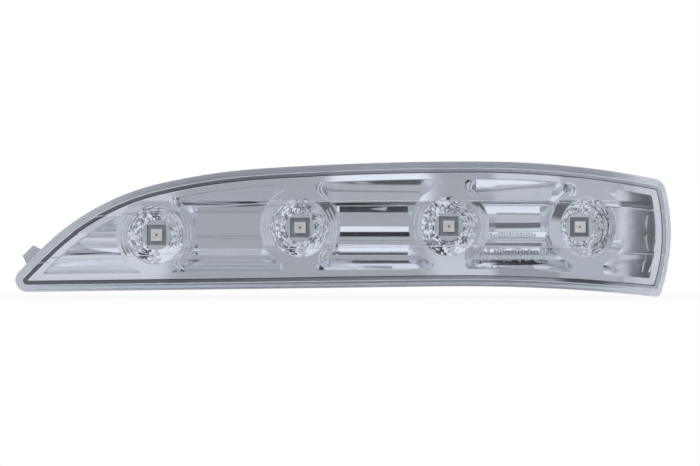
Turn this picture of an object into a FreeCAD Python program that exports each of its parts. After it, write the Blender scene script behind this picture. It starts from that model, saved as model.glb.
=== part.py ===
import FreeCAD, Part
import math
import os
import re

import Sketcher

Vector = FreeCAD.Vector
doc = FreeCAD.newDocument("indicator_lamp")

# Driving dimensions in millimetres and degrees
SIZES = {
    # Outline seen from the front
    "crown_x": 31.7,
    "crown_z": 20.2,
    "top_radius": 1004,
    "top_turn": 3.8,
    "fall_radius": 194,
    "fall_turn": 9.4,
    "slope_radius": 76,
    "slope_turn": 31.5,
    "tip_fillet": 3.65,
    "floor_x": 19.5,
    "floor_z": -18.3,
    "floor_slope": 0.79,
    "heel_radius": 540,
    "heel_fillet": 1.5,
    "end_center_x": 34.8,
    "end_center_z": -2,
    "end_face_radius": 57.6,
    "shoulder_fillet": 4.5,
    "brow_radius": 298,
    # Plan curve of the lens seen from above
    "lamp_depth": 24,
    "face_apex_x": -15,
    "face_radius": 800,
    "bend_x": 38,
    "bend_radius": 110,
    "bend_turn": 16.2,
    "wrap_radius": 55,
    "wrap_turn": 29,
    # Sloping bands above and below the middle band
    "crease_x": 22,
    "upper_crease_z": 8.3,
    "lower_crease_z": -5.9,
    "upper_band_radius": 680,
    "lower_band_radius": 710,
    "band_bend_drop": 2,
    "band_tilt": 14,
    # Lens shell and housing walls
    "lens_wall": 2.2,
    "lens_edge_bevel": 0.8,
    "lens_side_depth": 9,
    "lens_clearance": 0.2,
    "flange_thick": 2,
    "nest_wall": 0.9,
    "plate_clearance": 0.3,
    "housing_wall": 2,
    "back_thick": 1.8,
    "back_bend_radius": 60,
    "back_bend_turn": 26,
    # Reflector
    "plate_gap": 4,
    "plate_thick": 1.6,
    "tray_clearance": 0.2,
    "tray_wall": 1,
    "tray_floor": 2.2,
    "web_half_width": 4.8,
    "collar_radius": 12.3,
    "dish_radius": 9,
    "dish_wall": 1,
    "dish_floor": 1,
    "dish_sag": 1.6,
    "dish_rings": 3,
    "dish_back_rings": 2,
    "window_size": 6,
    "pocket_round": 1.5,
    "collar_rise": 0.7,
    "collar_setback": 0.3,
    "strip_1_depth": 8,
    "strip_1_top_tilt": -28,
    "strip_1_bottom_tilt": 4,
    "strip_2_z": 6.5,
    "strip_2_depth": 8,
    "strip_2_top_tilt": -32,
    "strip_2_bottom_tilt": 12,
    "strip_3_z": -1.5,
    "strip_3_depth": 8.8,
    "strip_3_top_tilt": -35,
    "strip_3_bottom_tilt": 42,
    "strip_4_z": -9.8,
    "strip_4_depth": 8.6,
    "strip_4_top_tilt": -40,
    "strip_4_bottom_tilt": 12,
    "riser_height": 1.3,
    "post_radius": 2.3,
    # Stations of the four light units
    "unit_1_x": -67.1,
    "unit_1_z": -2.4,
    "unit_2_x": -22.8,
    "unit_2_z": -0.2,
    "unit_3_x": 23.1,
    "unit_3_z": 0.2,
    "unit_4_x": 65.8,
    "unit_4_z": 0,
    "dish_depth": 8,
    "side_turn": 17,
    # Circuit boards and what they carry
    "board_thick": 1.6,
    "board_y": -18,
    "board_left_x": -79,
    "board_right_x": 37.5,
    "board_bottom_z": -10.5,
    "board_top_z": 8,
    "side_board_left": 12.4,
    "side_board_right": 11,
    "led_size": 3.5,
    "led_height": 1.9,
    "led_cup_radius": 1.3,
    "led_cup_depth": 0.9,
    "flex_width": 5,
    "flex_thick": 0.25,
    "flex_overlap": 4,
    "flex_radius": 25,
    "flex_z": -6.5,
    "resistor_length": 6.3,
    "resistor_width": 3.2,
    "resistor_height": 0.7,
    "resistor_1_x": -62,
    "resistor_2_x": -30,
    "resistor_3_x": -18,
    "resistor_4_x": 3,
    "resistor_z": -6,
    "cap_radius": 2.5,
    "cap_height": 4.6,
    "cap_x": 10,
    "cap_z": 4,
    "diode_length": 4.6,
    "diode_width": 3.6,
    "diode_height": 2.3,
    "diode_x": 11,
    "diode_z": -6,
    "screw_radius": 1,
    "screw_hole_clearance": 0.25,
    "screw_head_radius": 2.1,
    "screw_head_height": 1.3,
    "screw_depth": 2.6,
    "left_screw_x": -45,
    "left_screw_z": -4,
    "middle_screw_x": 0,
    "middle_screw_z": 3,
    "side_screw_x": -9,
    "side_screw_z": 3,
    # Rear face: screw bosses, socket, vent and locating tab
    "boss_height": 8,
    "boss_radius": 3.8,
    "boss_bore_radius": 1.55,
    "boss_bore_depth": 8.5,
    "left_boss_x": -84,
    "left_boss_z": -7,
    "rib_thick": 1.2,
    "rib_height": 2,
    "rib_reach": 11,
    "cross_reach": 8.8,
    "socket_x": 22,
    "socket_z": 0,
    "socket_width": 12.4,
    "socket_height": 7.4,
    "socket_wall": 1.3,
    "socket_length": 14,
    "latch_width": 3.4,
    "latch_length": 1.8,
    "latch_height": 1,
    "latch_setback": 3.2,
    "pin_width": 1.5,
    "pin_thick": 0.8,
    "pin_spacing": 5,
    "pin_reach": 7,
    "vent_x": -44,
    "vent_z": 1,
    "vent_radius": 5,
    "vent_height": 2.4,
    "vent_seat_radius": 4,
    "vent_seat_depth": 1,
    "vent_hole_radius": 1.2,
    "vent_patch_thick": 0.4,
    "tab_length": 6.5,
    "tab_reach": 2.8,
    "tab_x": -105,
}

sheet = doc.addObject("Spreadsheet::Sheet", "Sizes")
for row, (alias, value) in enumerate(SIZES.items(), 1):
    sheet.set(f"A{row}", alias)
    sheet.set(f"B{row}", str(value))
    sheet.setAlias(f"B{row}", alias)
doc.recompute()

ALIAS = re.compile(r"[a-z]\w*")
DOWN = FreeCAD.Rotation(Vector(1, 0, 0), -90)


def size(alias):
    return float(sheet.get(alias))


def cell(word):
    return "Sizes." + word[0] if word[0] in SIZES else word[0]


def bind(item, sizes):
    for name, text in sizes.items():
        item.setExpression(name, ALIAS.sub(cell, text))
    return item


# Plane geometry shared by the outline and the plan curves
def heading(angle, up):
    return Vector(math.cos(math.radians(angle)), 0, 0) + up * math.sin(math.radians(angle))


def run_of_arcs(start, angle, moves, up):
    edges = []
    point = start
    for radius, turn in moves:
        side = math.copysign(radius, turn)
        center = point + heading(angle + 90, up) * side
        middle = center - heading(angle + 90 + turn / 2, up) * side
        end = center - heading(angle + 90 + turn, up) * side
        edges.append(Part.Arc(point, middle, end).toShape())
        point = end
        angle += turn
    return edges, point, angle


def arc_about(center, start, end):
    radius = (start - center).Length
    middle = center + ((start + end) * 0.5 - center).normalize() * radius
    return Part.Arc(start, middle, end).toShape()


def where_lines_meet(point, along, other, other_along):
    gap = other - point
    cross = along.x * other_along.z - along.z * other_along.x
    return point + along * ((gap.x * other_along.z - gap.z * other_along.x) / cross)


def where_circles_meet(center, radius, other, other_radius):
    line = other - center
    span = line.Length
    reach = (radius ** 2 - other_radius ** 2 + span ** 2) / (2 * span)
    height = math.sqrt(radius ** 2 - reach ** 2)
    unit = line * (1 / span)
    normal = Vector(-unit.z, 0, unit.x)
    found = [center + unit * reach + normal * step for step in (height, -height)]
    return max(found, key=lambda point: point.x)


def outline_face(inset):
    up = Vector(0, 0, 1)
    crown = Vector(size("crown_x"), 0, size("crown_z"))
    falls = [(size(f"{name}_radius") - inset, size(f"{name}_turn")) for name in ("top", "fall", "slope")]
    edges, knee, angle = run_of_arcs(crown - up * inset, 180, falls, up)
    slope = size("floor_slope")
    floor = Vector(size("floor_x"), 0, size("floor_z"))
    floor_up = heading(slope + 90, up)
    floor_start = floor + floor_up * inset
    tip = where_lines_meet(knee, heading(angle, up), floor_start, heading(slope, up))
    least_round = size("tray_clearance")
    tip_round = max(size("tip_fillet") - inset, least_round)
    half = math.radians(angle - 180 - slope) / 2
    tip_top = tip - heading(angle, up) * (tip_round / math.tan(half))
    tip_bottom = tip + heading(slope, up) * (tip_round / math.tan(half))
    inward = (tip_top + tip_bottom - tip * 2).normalize()
    tip_nose = tip + inward * (tip_round / math.sin(half) - tip_round)
    edges.append(Part.makeLine(knee, tip_top))
    edges.append(Part.Arc(tip_top, tip_nose, tip_bottom).toShape())
    edges.append(Part.makeLine(tip_bottom, floor_start))

    end = Vector(size("end_center_x"), 0, size("end_center_z"))
    end_radius = size("end_face_radius") - inset
    heel = floor - floor_up * size("heel_radius")
    heel_radius = size("heel_radius") + inset
    brow = crown - up * size("brow_radius")
    brow_radius = size("brow_radius") - inset
    heel_round = max(size("heel_fillet") - inset, least_round)
    brow_round = max(size("shoulder_fillet") - inset, least_round)
    low = where_circles_meet(heel, heel_radius + heel_round, end, end_radius - heel_round)
    high = where_circles_meet(end, end_radius - brow_round, brow, brow_radius - brow_round)
    low_start = heel + (low - heel).normalize() * heel_radius
    low_end = end + (low - end).normalize() * end_radius
    high_start = end + (high - end).normalize() * end_radius
    high_end = brow + (high - brow).normalize() * brow_radius
    edges.append(arc_about(heel, floor_start, low_start))
    edges.append(arc_about(low, low_start, low_end))
    edges.append(arc_about(end, low_end, high_start))
    edges.append(arc_about(high, high_start, high_end))
    edges.append(arc_about(brow, high_end, crown - up * inset))
    return Part.Face(Part.Wire(Part.__sortEdges__(edges)))


ACROSS = Vector(0, 1, 0)
FAR = 130
BEHIND = 80
TALL = 60


def face_y():
    return -(size("lamp_depth") + size("boss_height"))


def lens_plan(depth, band=None):
    """Front curve of the lens, or of one of its bands, moved back by depth along its normals."""
    apex_x, radius, bend_radius = size("face_apex_x"), size("face_radius"), size("bend_radius")
    center = Vector(apex_x, face_y() + radius, 0)
    if band:
        touch = math.degrees(math.asin((size("crease_x") - apex_x) / radius))
        point = center + Vector(math.sin(math.radians(touch)), -math.cos(math.radians(touch)), 0) * radius
        radius = size(f"{band}_band_radius")
        bend_radius -= size("band_bend_drop")
        center = point + heading(touch + 90, ACROSS) * radius
    first = math.degrees(math.asin((-FAR - center.x) / radius))
    bend = math.degrees(math.asin((size("bend_x") - center.x) / radius))
    start = center - heading(first + 90, ACROSS) * (radius - depth)
    moves = [
        (radius - depth, bend - first),
        (bend_radius - depth, size("bend_turn")),
        (size("wrap_radius") - depth, size("wrap_turn")),
    ]
    edges, end, angle = run_of_arcs(start, first, moves, ACROSS)
    last = end + heading(angle, ACROSS) * TALL
    edges.append(Part.makeLine(end, last))
    return edges, start, last


def back_plan(depth):
    """Outside curve of the back wall, moved forward by depth."""
    start = Vector(-FAR, -size("boss_height") - depth, 0)
    bend = Vector(size("bend_x"), start.y, 0)
    moves = [(size("back_bend_radius") + depth, size("back_bend_turn"))]
    edges, end, angle = run_of_arcs(bend, 0, moves, ACROSS)
    last = end + heading(angle, ACROSS) * TALL
    return [Part.makeLine(start, bend)] + edges + [Part.makeLine(end, last)], start, last


def region_behind(plan, shift):
    """Plane region behind a plan curve, which is shifted by a vector."""
    edges, start, last = plan
    corners = [last, Vector(last.x, BEHIND, 0), Vector(start.x, BEHIND, 0), start]
    sides = [Part.makeLine(a, b) for a, b in zip(corners, corners[1:])]
    face = Part.Face(Part.Wire(edges + sides))
    face.translate(shift)
    return face


# Document objects
def feature(name, shape):
    item = doc.addObject("Part::Feature", name)
    item.Shape = shape
    return item


def extrude(name, base, along, length):
    item = doc.addObject("Part::Extrusion", name)
    item.Base = base
    item.DirMode = "Custom"
    item.Dir = along
    item.Solid = True
    return bind(item, {"LengthFwd": length})


def prism(name, inset):
    """Closed outline, inset from the lens's outside, drawn out from front to back."""
    face = outline_face(sum(size(part) for part in inset))
    face.translate(Vector(0, -BEHIND, 0))
    return extrude(name, feature(name + "_face", face), ACROSS, str(2 * BEHIND))


def slab(name, plan, shift=0):
    region = region_behind(plan, Vector(0, shift, -TALL))
    return extrude(name, feature(name + "_face", region), Vector(0, 0, 1), str(2 * TALL))


def tilted_slab(name, depth, band, crease_z, rises):
    slope = math.tan(math.radians(size("band_tilt"))) * rises
    stretch = math.hypot(1, slope)
    region = region_behind(lens_plan(depth * stretch, band), Vector(0, -(TALL + crease_z) * slope, -TALL))
    return extrude(name, feature(name + "_face", region), Vector(0, slope, 1), str(2 * TALL * stretch))


def boolean(kind, name, base, tool):
    item = doc.addObject(kind, name)
    item.Base = base
    item.Tool = tool
    return item


def cut(name, base, *tools):
    tool = tools[0] if len(tools) == 1 else fuse(name + "_tools", *tools)
    return boolean("Part::Cut", name, base, tool)


def common(name, base, tool):
    return boolean("Part::Common", name, base, tool)


def fuse(name, *shapes):
    item = doc.addObject("Part::MultiFuse", name)
    item.Shapes = list(shapes)
    item.Refine = True
    return item


def box(name, length, width, height, x, y, z):
    """Box of these lengths along X, Y and Z, centred on x and z, with its front at y."""
    sizes = {
        "Length": length,
        "Width": width,
        "Height": height,
        "Placement.Base.x": f"{x} - ({length}) / 2",
        "Placement.Base.y": y,
        "Placement.Base.z": f"{z} - ({height}) / 2",
    }
    return bind(doc.addObject("Part::Box", name), sizes)


def rod(name, radius, length, x, y, z):
    """Cylinder along Y from the point x, y, z backwards."""
    item = doc.addObject("Part::Cylinder", name)
    item.Placement = FreeCAD.Placement(Vector(), DOWN)
    sizes = {
        "Radius": radius,
        "Height": length,
        "Placement.Base.x": x,
        "Placement.Base.y": y,
        "Placement.Base.z": z,
    }
    return bind(item, sizes)


def crown(name, depth):
    """Everything behind the three-banded front of the lens at this depth."""
    front = slab(name + "_middle", lens_plan(depth))
    upper = tilted_slab(name + "_upper", depth, "upper", size("upper_crease_z"), 1)
    lower = tilted_slab(name + "_lower", depth, "lower", size("lower_crease_z"), -1)
    return common(name, common(name + "_two", front, upper), lower)


OUTSIDE = ()
LENS_INSIDE = ("lens_wall",)
HOUSING_OUTSIDE = LENS_INSIDE + ("lens_clearance",)
NEST_INSIDE = HOUSING_OUTSIDE + ("nest_wall",)
PLATE_EDGE = NEST_INSIDE + ("plate_clearance",)
HOUSING_INSIDE = HOUSING_OUTSIDE + ("housing_wall",)
TRAY_OUTSIDE = HOUSING_INSIDE + ("tray_clearance",)
POCKET = TRAY_OUTSIDE + ("tray_wall",)

full_outline = prism("full_outline", OUTSIDE)
lens_inside = prism("lens_inside", LENS_INSIDE)
housing_outside = prism("housing_outside", HOUSING_OUTSIDE)
nest_inside = prism("nest_inside", NEST_INSIDE)
plate_edge = prism("plate_edge", PLATE_EDGE)
housing_inside = prism("housing_inside", HOUSING_INSIDE)
tray_outside = prism("tray_outside", TRAY_OUTSIDE)
pocket_outline = prism("pocket_outline", POCKET)

lens_front = crown("lens_front", 0)
lens_back = crown("lens_back", size("lens_wall"))
plate_front = crown("plate_front", size("plate_gap"))
plate_back = crown("plate_back", size("plate_gap") + size("plate_thick"))
parting = slab("parting", lens_plan(0), size("lens_side_depth"))
flange_back = slab("flange_back", lens_plan(0), size("lens_side_depth") + size("flange_thick"))
back_outside = slab("back_outside", back_plan(0))
back_inside = slab("back_inside", back_plan(size("back_thick")))


# Outer lens
def rim_edges(shape):
    """Numbers of the edges between the side wall of a lens and its front."""
    found = []
    for number, edge in enumerate(shape.Edges, 1):
        middle = edge.valueAt((edge.FirstParameter + edge.LastParameter) / 2)
        faces = shape.ancestorsOfType(edge, Part.Face)
        along_y = [abs(face.normalAt(*face.Surface.parameter(middle)).y) < 0.02 for face in faces]
        if sorted(along_y) == [False, True] and middle.y < BEHIND / 2:
            found.append(number)
    return found


lens_block = common("lens_block", full_outline, lens_front)
doc.recompute()
bevelled_block = doc.addObject("Part::Chamfer", "lens_bevelled_block")
bevelled_block.Base = lens_block
bevelled_block.Edges = [(number, size("lens_edge_bevel"), size("lens_edge_bevel"))
                        for number in rim_edges(lens_block.Shape)]
lens_core = common("lens_core", lens_inside, lens_back)
outer_lens = cut("outer_lens", bevelled_block, lens_core, parting)


# Rear housing
def build_housing():
    block = cut("housing_block", common("housing_front", housing_outside, plate_front), back_outside)
    nest_cut = cut("nest_cut", nest_inside, plate_back)
    hollow = cut("housing_hollow", housing_inside, back_inside)
    walls = cut("housing_walls", block, nest_cut, hollow)
    flange_outline = fuse("flange_outline", full_outline, locating_tab())
    flange_block = common("flange_block", flange_outline, parting)
    flange = cut("flange", flange_block, nest_inside, flange_back)
    pieces = [walls, flange]
    holes = []
    bosses = {"main": ("0", "0"), "left": ("left_boss_x", "left_boss_z")}
    for name, (x, z) in bosses.items():
        root = "-(boss_height + back_thick / 2)"
        length = "boss_height + back_thick / 2"
        pieces.append(rod(f"{name}_boss", "boss_radius", length, x, root, z))
        rib_y = "-(boss_height + back_thick / 2)"
        rib_width = "rib_height + back_thick / 2"
        pieces.append(box(f"{name}_rib_long", "2 * rib_reach", rib_width, "rib_thick", x, rib_y, z))
        pieces.append(box(f"{name}_rib_cross", "rib_thick", rib_width, "2 * cross_reach", x, rib_y, z))
        bore_length = "boss_bore_depth + back_thick"
        holes.append(rod(f"{name}_bore", "boss_bore_radius", bore_length, x, "-boss_bore_depth", z))
    socket_y = "-(boss_height + back_thick / 2)"
    outer_width = "socket_width + 2 * socket_wall"
    outer_height = "socket_height + 2 * socket_wall"
    socket_length = "socket_length + back_thick / 2"
    pieces.append(box("socket_block", outer_width, socket_length, outer_height,
                      "socket_x", socket_y, "socket_z"))
    latch_y = "socket_length - boss_height - latch_setback - latch_length"
    latch_z = f"socket_z + ({outer_height}) / 2"
    pieces.append(box("socket_latch", "latch_width", "latch_length", "2 * latch_height",
                      "socket_x", latch_y, latch_z))
    holes.append(box("socket_cavity", "socket_width", "2 * socket_length", "socket_height",
                     "socket_x", "-boss_height", "socket_z"))
    for side, sign in (("left", "-"), ("right", "+")):
        pin_x = f"socket_x {sign} pin_spacing / 2"
        holes.append(box(f"pin_slot_{side}", "pin_width", "2 * back_thick", "pin_thick",
                         pin_x, "-(boss_height + 1.5 * back_thick)", "socket_z"))
    pieces.append(rod("vent_boss", "vent_radius", "vent_height + back_thick / 2",
                      "vent_x", "-(boss_height + back_thick / 2)", "vent_z"))
    holes.append(rod("vent_seat", "vent_seat_radius", "2 * vent_seat_depth",
                     "vent_x", "vent_height - boss_height - vent_seat_depth", "vent_z"))
    holes.append(rod("vent_hole", "vent_hole_radius", "vent_height + 2 * back_thick",
                     "vent_x", "-(boss_height + 1.5 * back_thick)", "vent_z"))
    whole = fuse("housing_whole", *pieces)
    return cut("rear_housing", whole, *holes)


def locating_tab():
    """Outline of the tongue on the sloping edge at the pointed end, drawn out from front to back."""
    up = Vector(0, 0, 1)
    straight = [edge for edge in outline_face(0).Edges if edge.Curve.TypeId == "Part::GeomLine"]
    edge = max(straight, key=lambda edge: edge.CenterOfMass.z)
    ends = sorted((vertex.Point for vertex in edge.Vertexes), key=lambda point: point.x)
    along = (ends[1] - ends[0]).normalize()
    out = Vector(-along.z, 0, along.x)
    center = ends[0] + along * ((size("tab_x") - ends[0].x) / along.x)
    half = along * (size("tab_length") / 2)
    taper = along * (size("tab_reach") / 3)
    reach = out * size("tab_reach")
    root = out * -size("lens_wall")
    corners = [center - half + root, center + half + root, center + half,
               center + half - taper + reach, center - half + taper + reach,
               center - half, center - half + root]
    tab = Part.Face(Part.makePolygon(corners))
    tab.translate(Vector(0, -BEHIND, 0))
    return extrude("locating_tab", feature("locating_tab_face", tab), ACROSS, str(2 * BEHIND))


rear_housing = build_housing()


# Light units: where each dish starts on the plate and how it is turned
def plate_point(x, z):
    line = Part.makeLine(Vector(x, -BEHIND, z), Vector(x, BEHIND, z))
    doc.recompute()
    touch = line.common(plate_front.Shape)
    return Vector(x, touch.BoundBox.YMin, z)


units = {}
for number in (1, 2, 3, 4):
    mouth = plate_point(size(f"unit_{number}_x"), size(f"unit_{number}_z"))
    turn = size("side_turn") if number == 4 else 0
    depth = size("dish_depth") if number == 4 else size("board_y") - size("dish_floor") - mouth.y
    turned = FreeCAD.Rotation(Vector(0, 0, 1), turn)
    units[number] = FreeCAD.Placement(mouth, turned), depth

side_place, side_depth = units[4]
side_board_y = side_depth + size("dish_floor")


# Frames of the two boards: x along the board, y back from its front face
BOARDS = {
    "main": FreeCAD.Placement(Vector(0, size("board_y"), 0), FreeCAD.Rotation()),
    "side": side_place * FreeCAD.Placement(Vector(0, side_board_y, 0), FreeCAD.Rotation()),
}
SCREWS = (
    ("left", "main", "left_screw_x", "left_screw_z"),
    ("middle", "main", "middle_screw_x", "middle_screw_z"),
    ("side", "side", "side_screw_x", "side_screw_z"),
)


def carried(item, frame):
    """Moves an item that was placed in a board's own frame to that board."""
    holder = doc.addObject("Part::Compound", item.Name + "_placed")
    holder.Links = [item]
    holder.Placement = BOARDS[frame]
    return holder


def rod_on(name, frame, radius, length, x, y, z):
    return carried(rod(name, radius, length, x, y, z), frame)


def box_on(name, frame, length, width, height, x, y, z):
    return carried(box(name, length, width, height, x, y, z), frame)


# Reflector
def dish_profile(radius, floor_radius, depth, rings, lead):
    """Half section of a dish about Y: rings of a bulging side, from its mouth down to a flat floor."""
    mouth = Vector(radius, 0, 0)
    base = Vector(floor_radius, depth, 0)
    chord = base - mouth
    bulge = Vector(chord.y, -chord.x, 0).normalize() * size("dish_sag")
    side = Part.Arc(mouth, (mouth + base) * 0.5 + bulge, base).toShape()
    corners = [Vector(0, depth, 0), Vector(0, -lead, 0), Vector(radius, -lead, 0), mouth]
    return Part.Face(Part.makePolygon(side.discretize(rings + 1) + corners))


def revolve(name, profile, place):
    item = doc.addObject("Part::Revolution", name)
    item.Source = feature(name + "_profile", profile)
    item.Axis = ACROSS
    item.Base = Vector()
    item.Angle = 360
    item.Solid = True
    item.Placement = place
    return item


def dish_space(number):
    """Hollow of a dish, from well in front of the plate down to its floor."""
    place, depth = units[number]
    floor_radius = size("window_size") / math.sqrt(2) + size("plate_clearance")
    rings = int(size("dish_rings"))
    profile = dish_profile(size("dish_radius"), floor_radius, depth, rings, size("dish_radius"))
    return revolve(f"dish_{number}_hollow", profile, place)


def dish_body(number):
    """Outside of a dish: its hollow grown by the wall and the floor, with plainer rings."""
    place, depth = units[number]
    wall = size("dish_wall")
    floor_radius = size("window_size") / math.sqrt(2) + size("plate_clearance") + wall
    profile = dish_profile(size("dish_radius") + wall, floor_radius, depth + size("dish_floor"),
                           int(size("dish_back_rings")), size("dish_radius") / 2)
    return common(f"dish_{number}_behind", revolve(f"dish_{number}_body", profile, place), plate_front)


STRIPS = (1, 2, 3, 4)


def strip_arc(number, top, bottom):
    """Hollow strip that turns from its top tilt to its bottom tilt, where a plus tilt faces up."""
    first = math.radians(size(f"strip_{number}_top_tilt"))
    last = math.radians(size(f"strip_{number}_bottom_tilt"))
    tilt = (first + last) / 2
    upper = Vector(0, size(f"strip_{number}_depth"), top)
    lower = upper - Vector(0, math.tan(tilt), 1) * (top - bottom)
    radius = (upper - lower).Length / 2 / math.sin((last - first) / 2)
    sag = radius * (1 - math.cos((last - first) / 2))
    belly = (upper + lower) * 0.5 + Vector(0, math.cos(tilt), -math.sin(tilt)) * sag
    return Part.Arc(upper, belly, lower).toShape(), upper, lower


def strip_section():
    """Section across the pockets: four hollow strips with steep risers between them."""
    borders = [size("crown_z"), *(size(f"strip_{number}_z") for number in STRIPS[1:]), size("floor_z")]
    edges = []
    corners = []
    for number, top, bottom in zip(STRIPS, borders, borders[1:]):
        if number == STRIPS[0]:
            top = size("crown_z") - sum(size(part) for part in POCKET)
        arc, upper, lower = strip_arc(number, top, bottom + size("riser_height"))
        edges.append(arc)
        corners.append((upper, lower))
    for above, below in zip(corners, corners[1:]):
        edges.append(Part.makeLine(above[1], below[0]))
    upper, lower = corners[0][0], corners[-1][1]
    front = -size("lamp_depth")
    rim = [lower, Vector(0, lower.y, size("floor_z") - size("heel_fillet")),
           Vector(0, front, size("floor_z") - size("heel_fillet")), Vector(0, front, size("crown_z")),
           Vector(0, upper.y, size("crown_z")), upper]
    edges += [Part.makeLine(a, b) for a, b in zip(rim, rim[1:])]
    return Part.Wire(Part.__sortEdges__(edges))


def strip_floor(name):
    """The strip section carried along the plan curve of the lens."""
    edges, start, last = lens_plan(0)
    tangent = edges[0].tangentAt(edges[0].FirstParameter)
    turn = math.degrees(math.atan2(tangent.y, tangent.x))
    section = strip_section()
    section.Placement = FreeCAD.Placement(start, FreeCAD.Rotation(Vector(0, 0, 1), turn))
    return feature(name, Part.Wire(edges).makePipeShell([section], True, False))


def corner_edges(shape, span, discs):
    """Numbers of the upright corners at the ends of a pocket's span, with room beside the collars."""
    found = []
    for number, edge in enumerate(shape.Edges, 1):
        ends = [vertex.Point for vertex in edge.Vertexes]
        if len(ends) == 2 and abs(ends[0].y - ends[1].y) > BEHIND:
            at_end = min(abs(ends[0].x - span.XMin), abs(ends[0].x - span.XMax)) < 0.01
            away = [math.hypot(ends[0].x - x, ends[0].z - z) - radius for x, z, radius in discs]
            if at_end and min(away) > size("pocket_round") / 2:
                found.append(number)
    return found


def pocket_column(name, left, right, neighbours, outline, wall):
    """Upright column of one pocket between two light units, grown by wall."""
    spread = box(name + "_span", f"{right} - ({left}) + 2 * {wall}", str(2 * BEHIND), str(2 * TALL),
                 f"({left} + {right}) / 2", str(-BEHIND), "0")
    space = common(name + "_outline", spread, outline)
    discs = [rod(f"{name}_disc_{number}", f"collar_radius - {wall}", str(2 * BEHIND),
                 f"unit_{number}_x", str(-BEHIND), f"unit_{number}_z") for number in neighbours]
    return cut(name + "_column", space, *discs)


def rounded(name, column, neighbours):
    """The column with its four corners rounded."""
    doc.recompute()
    ends = column.Shape.BoundBox
    rims = [(size(f"unit_{number}_x"), size(f"unit_{number}_z"), size("collar_radius"))
            for number in neighbours]
    corners = corner_edges(column.Shape, ends, rims)
    if not corners:
        return column
    item = doc.addObject("Part::Fillet", name)
    item.Base = column
    item.Edges = [(number, size("pocket_round"), size("pocket_round")) for number in corners]
    return item


POCKETS = {
    "left": ("crown_x - 200", "unit_1_x - web_half_width", (1,)),
    "inner": ("unit_1_x + web_half_width", "unit_2_x - web_half_width", (1, 2)),
    "middle": ("unit_2_x + web_half_width", "unit_3_x - web_half_width", (2, 3)),
    "outer": ("unit_3_x + web_half_width", "unit_4_x - web_half_width", (3, 4)),
    "right": ("unit_4_x + web_half_width", "crown_x + 80", (4,)),
}


def collar_space():
    """Room for the collars: close behind the lens, within the plate and between its two creases."""
    front = slab("collar_front", lens_plan(size("plate_gap") - size("collar_rise")))
    band = box("collar_band", str(2 * FAR), str(2 * BEHIND),
               "upper_crease_z - lower_crease_z - 2 * collar_setback",
               "0", str(-BEHIND), "(upper_crease_z + lower_crease_z) / 2")
    return common("collar_space", common("collar_edge", plate_edge, front), band)


def collar(number, space):
    """Lip round the mouth of a dish, which slopes away to the plate."""
    place, depth = units[number]
    inner = Vector(size("dish_radius") - size("dish_wall"), 0, 0)
    outer = Vector(size("collar_radius"), 0, 0)
    crest = inner - ACROSS * size("collar_rise")
    back = ACROSS * size("plate_thick")
    profile = Part.Face(Part.makePolygon([crest, outer, outer + back, inner + back, crest]))
    return common(f"collar_{number}", revolve(f"collar_{number}_ridge", profile, place), space)


def build_reflector():
    plate = cut("plate", common("plate_block", plate_edge, plate_front), plate_back)
    strips = strip_floor("pocket_strips")
    deepest = max(size(f"strip_{number}_depth") for number in STRIPS)
    tray_back = slab("tray_back", lens_plan(deepest + size("tray_floor")))
    tray_block = cut("tray_block", plate_front, tray_back)
    ring_space = collar_space()
    pieces = [plate]
    holes = []
    for name, (left, right, neighbours) in POCKETS.items():
        tray = pocket_column(f"{name}_tray", left, right, neighbours, tray_outside, "tray_wall")
        pieces.append(common(f"{name}_tray", tray, tray_block))
        column = pocket_column(f"{name}_pocket", left, right, neighbours, pocket_outline, "0")
        holes.append(common(f"{name}_pocket", rounded(f"{name}_rounded", column, neighbours), strips))
    for number, (place, depth) in units.items():
        pieces += [dish_body(number), collar(number, ring_space)]
        holes.append(dish_space(number))
        window = doc.addObject("Part::Box", f"window_{number}")
        bind(window, {"Length": "window_size", "Width": "dish_floor * 3", "Height": "window_size"})
        half = size("window_size") / 2
        window.Placement = place * FreeCAD.Placement(Vector(-half, depth - size("dish_floor"), -half),
                                                     FreeCAD.Rotation())
        holes.append(window)
    for name, frame, x, z in SCREWS:
        room = size("board_y") - face_y() if frame == "main" else side_board_y
        pieces.append(rod_on(f"{name}_post", frame, "post_radius", str(room / 2), x, str(-room / 2), z))
        holes.append(rod_on(f"{name}_pilot", frame, "screw_radius", "screw_depth + screw_hole_clearance",
                            x, "-(screw_depth + screw_hole_clearance)", z))
    return cut("reflector", fuse("reflector_whole", *pieces), *holes)


reflector = build_reflector()


# Circuit boards
def board(name, frame, length, height, x, z, outline=None):
    plate = box_on(name + "_plate", frame, length, "board_thick", height, x, "0", z)
    if outline:
        plate = common(name + "_trimmed", plate, outline)
    holes = [rod_on(f"{name}_hole_{screw}", frame, "screw_radius + screw_hole_clearance",
                    "2 * board_thick", hole_x, "-board_thick / 2", hole_z)
             for screw, screw_frame, hole_x, hole_z in SCREWS if screw_frame == frame]
    return cut(name, plate, *holes)


main_board = board("main_board", "main", "board_right_x - board_left_x", "board_top_z - board_bottom_z",
                   "(board_left_x + board_right_x) / 2", "(board_bottom_z + board_top_z) / 2", tray_outside)
side_board = board("side_board", "side", "side_board_left + side_board_right",
                   "board_top_z - board_bottom_z",
                   "(side_board_right - side_board_left) / 2", "(board_bottom_z + board_top_z) / 2")


# Light-emitting diodes
def sketch_on_front(body, name, offset="0"):
    plane = next(item for item in body.Origin.OriginFeatures if item.Role == "XZ_Plane")
    sketch = body.newObject("Sketcher::SketchObject", name)
    sketch.AttachmentSupport = [(plane, "")]
    sketch.MapMode = "FlatFace"
    return bind(sketch, {"AttachmentOffset.Base.z": offset})


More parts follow.
